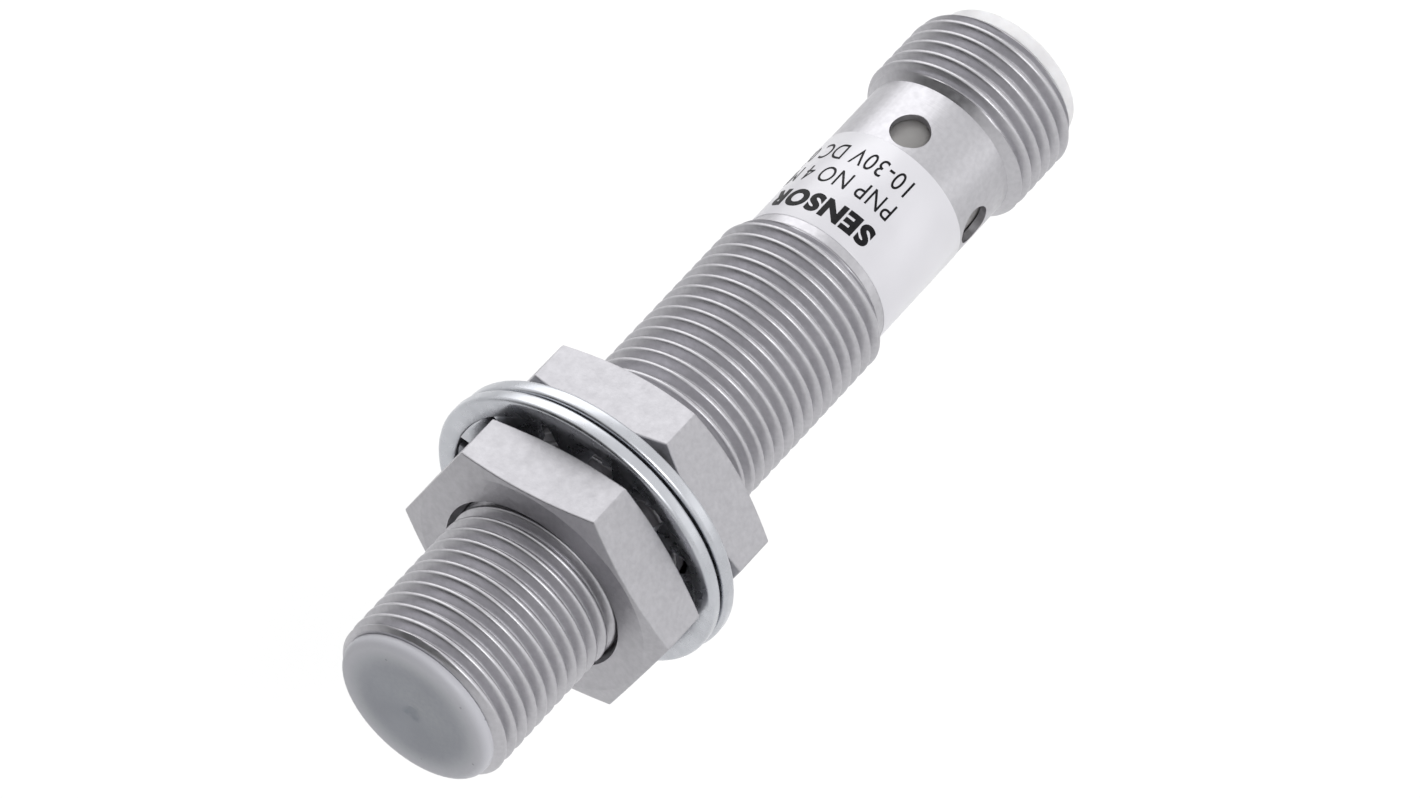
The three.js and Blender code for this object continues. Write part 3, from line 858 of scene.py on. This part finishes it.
washer("front_toothed_washer", "front_washer", "front_lock_washer", first_tooth=0)
washer("rear_toothed_washer", "rear_washer", "rear_lock_washer", first_tooth=15)


# ---- label: a film with a seam, and its printed lines ----
label_start, label_end = length_of("wrap_label")


def film(name):
    """The label as an open band round the neck, closed at its seam edges."""
    shape = bmesh.new()
    gap = math.degrees(SEAM_GAP / LABEL_OUTER)
    lip = LABEL_INNER + LABEL_LIP
    outline = [
        (label_start, LABEL_INNER), (label_start, lip), (label_start + LABEL_SLOPE, LABEL_OUTER),
        (label_end - LABEL_SLOPE, LABEL_OUTER), (label_end, lip), (label_end, LABEL_INNER),
    ]
    columns = COLUMNS * 2
    sections = []
    for i in range(columns + 1):
        degrees = SEAM_ANGLE + gap / 2 + (360 - gap) * i / columns
        sections.append([shape.verts.new(around(x, radius, degrees)) for x, radius in outline])
    for first, second in zip(sections, sections[1:]):
        for k in range(len(outline)):
            n = (k + 1) % len(outline)
            shape.faces.new([first[k], first[n], second[n], second[k]])
    shape.faces.new(sections[0])
    shape.faces.new(sections[-1])
    return from_bmesh(name, shape)


def printed(text, baseline, width, spacing, weight):
    """A printed line wrapped on the label. It reads towards falling angles, with its tops to the face."""
    curve = bpy.data.curves.new("line", "FONT")
    curve.body = text
    curve.size = PRINT_HEIGHT / CAPITAL_SHARE
    curve.extrude = INK_HALF_THICKNESS
    curve.offset = weight
    curve.space_character = spacing
    curve.resolution_u = 6
    words = bpy.data.objects.new("line", curve)
    bpy.context.scene.collection.objects.link(words)
    seen = words.evaluated_get(bpy.context.evaluated_depsgraph_get())
    mesh = bpy.data.meshes.new_from_object(seen)
    bpy.data.objects.remove(words)
    shape = bmesh.new()
    shape.from_mesh(mesh)
    bmesh.ops.remove_doubles(shape, verts=shape.verts, dist=PRINT_WELD)
    for vert in shape.verts:
        vert.co.x *= width
    reach = max(vert.co.x for vert in shape.verts)
    for i in range(1, int(reach / PRINT_STRIP) + 1):
        whole = shape.verts[:] + shape.edges[:] + shape.faces[:]
        bmesh.ops.bisect_plane(shape, geom=whole, plane_co=(i * PRINT_STRIP, 0, 0), plane_no=(1, 0, 0))
    for vert in shape.verts:
        along, tall, out = vert.co
        degrees = PRINT_START - math.degrees(along / LABEL_OUTER)
        vert.co = around(baseline - tall, LABEL_OUTER + INK_LIFT + out, degrees)
    return from_bmesh("line", shape)


dress(film("label_band"), "label_film", "housing", ["wrap_label"])
lines = [
    printed("SENSOR", 43.05, width=0.98, spacing=1.15, weight=0.11),
    printed("PNP NO 4 MM", 45.45, width=0.74, spacing=1.08, weight=0.0),
    printed("10-30V DC 0.2A", 47.55, width=0.74, spacing=1.08, weight=0.0),
]
dress(merge("label_printing", lines), "label_film", "housing", material=ink)


# ---- connector insert and pins ----
carrier_start, carrier_end = length_of("contact_carrier")


def key_rib():
    """The rib that lets a plug in only one way round."""
    shape = bmesh.new()
    bmesh.ops.create_cube(shape, size=1)
    start = SOCKET_FLOOR - KEY_OVERLAP
    size = Vector((KEY_BACK - start, KEY_WIDTH, KEY_HEIGHT))
    centre = Vector(((KEY_BACK + start) / 2, 0, SOCKET_RADIUS - KEY_REACH + KEY_HEIGHT / 2))
    for vert in shape.verts:
        vert.co = Vector(a * b for a, b in zip(vert.co, size)) + centre
    return soften(from_bmesh("rib", shape), KEY_ROUNDING, segments=3)


def pin_place(degrees):
    """The move from the barrel's axis to a pin's own."""
    return Matrix.Translation(around(0, PIN_CIRCLE, degrees))


def pin_hole(degrees):
    """The drill for one pin's hole through the insert."""
    start = carrier_start - CUT_BEYOND
    end = SOCKET_FLOOR + CUT_BEYOND
    hole = turned("hole", [
        (start, 0), (start, PIN_HOLE_RADIUS), (end, PIN_HOLE_RADIUS), (end, 0),
    ], PIN_COLUMNS)
    hole.data.transform(pin_place(degrees))
    return hole


def connector_insert():
    """The moulded insert: a socket with a rounded rim, a key rib and four pin holes."""
    insert = turned("connector_insert", [
        (carrier_start, 0), (carrier_start, CARRIER_RADIUS - CARRIER_CHAMFER),
        (carrier_start + CARRIER_CHAMFER, CARRIER_RADIUS), (RIM_START, CARRIER_RADIUS),
        (RIM_START, RIM_RADIUS - RIM_BREAK), (RIM_START + RIM_BREAK, RIM_RADIUS),
        *arc(carrier_end - RIM_ROUNDING, RIM_RADIUS - RIM_ROUNDING, RIM_ROUNDING, 90, 0, 6),
        *arc(carrier_end - MOUTH_ROUNDING, SOCKET_RADIUS + MOUTH_ROUNDING, MOUTH_ROUNDING, 360, 270, 4),
        (SOCKET_FLOOR, SOCKET_RADIUS), (SOCKET_FLOOR, 0),
    ])
    combine(insert, [key_rib()], "UNION")
    combine(insert, [pin_hole(degrees) for degrees in PIN_ANGLES], "DIFFERENCE")
    dress(insert, "translucent_plastic", "housing", ["contact_carrier"])


def contact_pin(number, degrees):
    """One contact: a thin tail, a shoulder inside the insert and a round-nosed pin."""
    shoulder_start, shoulder_end = PIN_SHOULDER
    nose = arc(PIN_TIP - PIN_RADIUS, 0, PIN_RADIUS, 90, 0, 8)
    pin = turned(f"contact_pin_round_{number}", [
        (PIN_TAIL, 0), (PIN_TAIL, PIN_TAIL_RADIUS - PIN_TAIL_BREAK),
        (PIN_TAIL + PIN_TAIL_BREAK, PIN_TAIL_RADIUS), (carrier_start + shoulder_start, PIN_TAIL_RADIUS),
        (carrier_start + shoulder_end, PIN_RADIUS), *nose[:-1], (PIN_TIP, 0),
    ], PIN_COLUMNS)
    pin.data.transform(pin_place(degrees))
    dress(pin, "gold_plate", "housing", [f"contact_pin_{number}"])


connector_insert()
for number, degrees in enumerate(PIN_ANGLES, 1):
    contact_pin(number, degrees)


# ---- the CAD nodes that stay get the real finishes ----
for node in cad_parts.values():
    if not node.hide_render:
        for place in node.material_slots:
            key = place.material.name.split(".")[0]
            place.material = finishes.get(key, place.material)


# ---- floor, light and camera; the floor's half width is in metres, the other sizes in millimetres ----
FLOOR_HALF_WIDTH = 6
FLOOR_DROP = 90
ROOM_LIGHT = 1.08
UNLIT_END = 0.04
AZIMUTH = math.radians(-54.02)
ELEVATION = math.radians(51.28)
CAMERA_DISTANCE = 665.64
FOCAL_LENGTH = 278.98
SENSOR_WIDTH = 36
AIM = Vector((29.64, -0.24, -0.11))

floor_shape = bmesh.new()
bmesh.ops.create_grid(floor_shape, x_segments=1, y_segments=1, size=FLOOR_HALF_WIDTH)
bmesh.ops.translate(floor_shape, verts=floor_shape.verts, vec=(0, 0, -FLOOR_DROP * MM))
floor_mesh = bpy.data.meshes.new("floor")
floor_shape.to_mesh(floor_mesh)
floor_shape.free()
floor = collect("floor", floor_mesh)
paper, tree, shader, place = start_material("matt_white_paper", Roughness=0.9, Specular_IOR_Level=0.1)
tree.links.new(varied(tree, place, "#EBEBEB", "#EEEEEE", 0.02), shader.inputs["Base Color"])
floor_mesh.materials.append(paper)

middle = Vector(((cad_bounds[0].x + cad_bounds[1].x) / 2, 0, 0))
world = bpy.data.worlds.new("studio")
bpy.context.scene.world = world
world.use_nodes = True
tree = world.node_tree
tree.nodes.clear()
# an even white room with one unlit end, in front of the sensing face, which gives the metal its
# darker side
heading = add_node(tree, "ShaderNodeTexCoord").outputs["Generated"]
facing = add_node(tree, "ShaderNodeVectorMath", {0: heading, 1: (-0.9, 0.3, 0.32)}, operation="DOT_PRODUCT")
unlit = add_node(tree, "ShaderNodeMapRange", {
    "Value": facing.outputs["Value"], "From Min": 0.5, "From Max": 0.92,
    "To Min": ROOM_LIGHT, "To Max": UNLIT_END,
}, interpolation_type="SMOOTHSTEP").outputs[0]
seen = add_node(tree, "ShaderNodeLightPath").outputs["Is Camera Ray"]
level = add_node(tree, "ShaderNodeMix", {"Factor": seen, 2: unlit, 3: 1.0}).outputs[0]
glow = add_node(tree, "ShaderNodeBackground", {"Color": (1, 1, 1, 1), "Strength": level}).outputs[0]
add_node(tree, "ShaderNodeOutputWorld", {"Surface": glow})


def soft_box(name, direction, distance, width, height, watts):
    """An area light that faces the object from a direction. Its distance and sizes are in metres."""
    light = bpy.data.lights.new(name, "AREA")
    light.shape = "RECTANGLE"
    light.size = width
    light.size_y = height
    light.energy = watts
    lamp = bpy.data.objects.new(name, light)
    bpy.context.scene.collection.objects.link(lamp)
    towards = Vector(direction).normalized()
    lamp.location = middle + towards * distance
    lamp.rotation_euler = towards.to_track_quat("Z", "Y").to_euler()


soft_box("left", (0.56, 0.6, 0.6), 0.35, 0.4, 0.3, 0.48)
soft_box("right", (0.5, -0.86, 0.12), 0.8, 0.6, 0.5, 0.4)
soft_box("top", (-0.36, -0.56, 0.745), 0.8, 0.34, 0.34, 1.8)

back = Vector((
    math.sin(AZIMUTH) * math.cos(ELEVATION),
    -math.cos(AZIMUTH) * math.cos(ELEVATION),
    math.sin(ELEVATION),
))
lens = bpy.data.cameras.new("camera")
lens.lens = FOCAL_LENGTH
lens.sensor_width = SENSOR_WIDTH
lens.clip_start = 0.01
camera = bpy.data.objects.new("camera", lens)
bpy.context.scene.collection.objects.link(camera)
camera.location = (AIM + back * CAMERA_DISTANCE) * MM
camera.rotation_euler = back.to_track_quat("Z", "Y").to_euler()
bpy.context.scene.camera = camera
bpy.context.scene.view_settings.view_transform = "Standard"
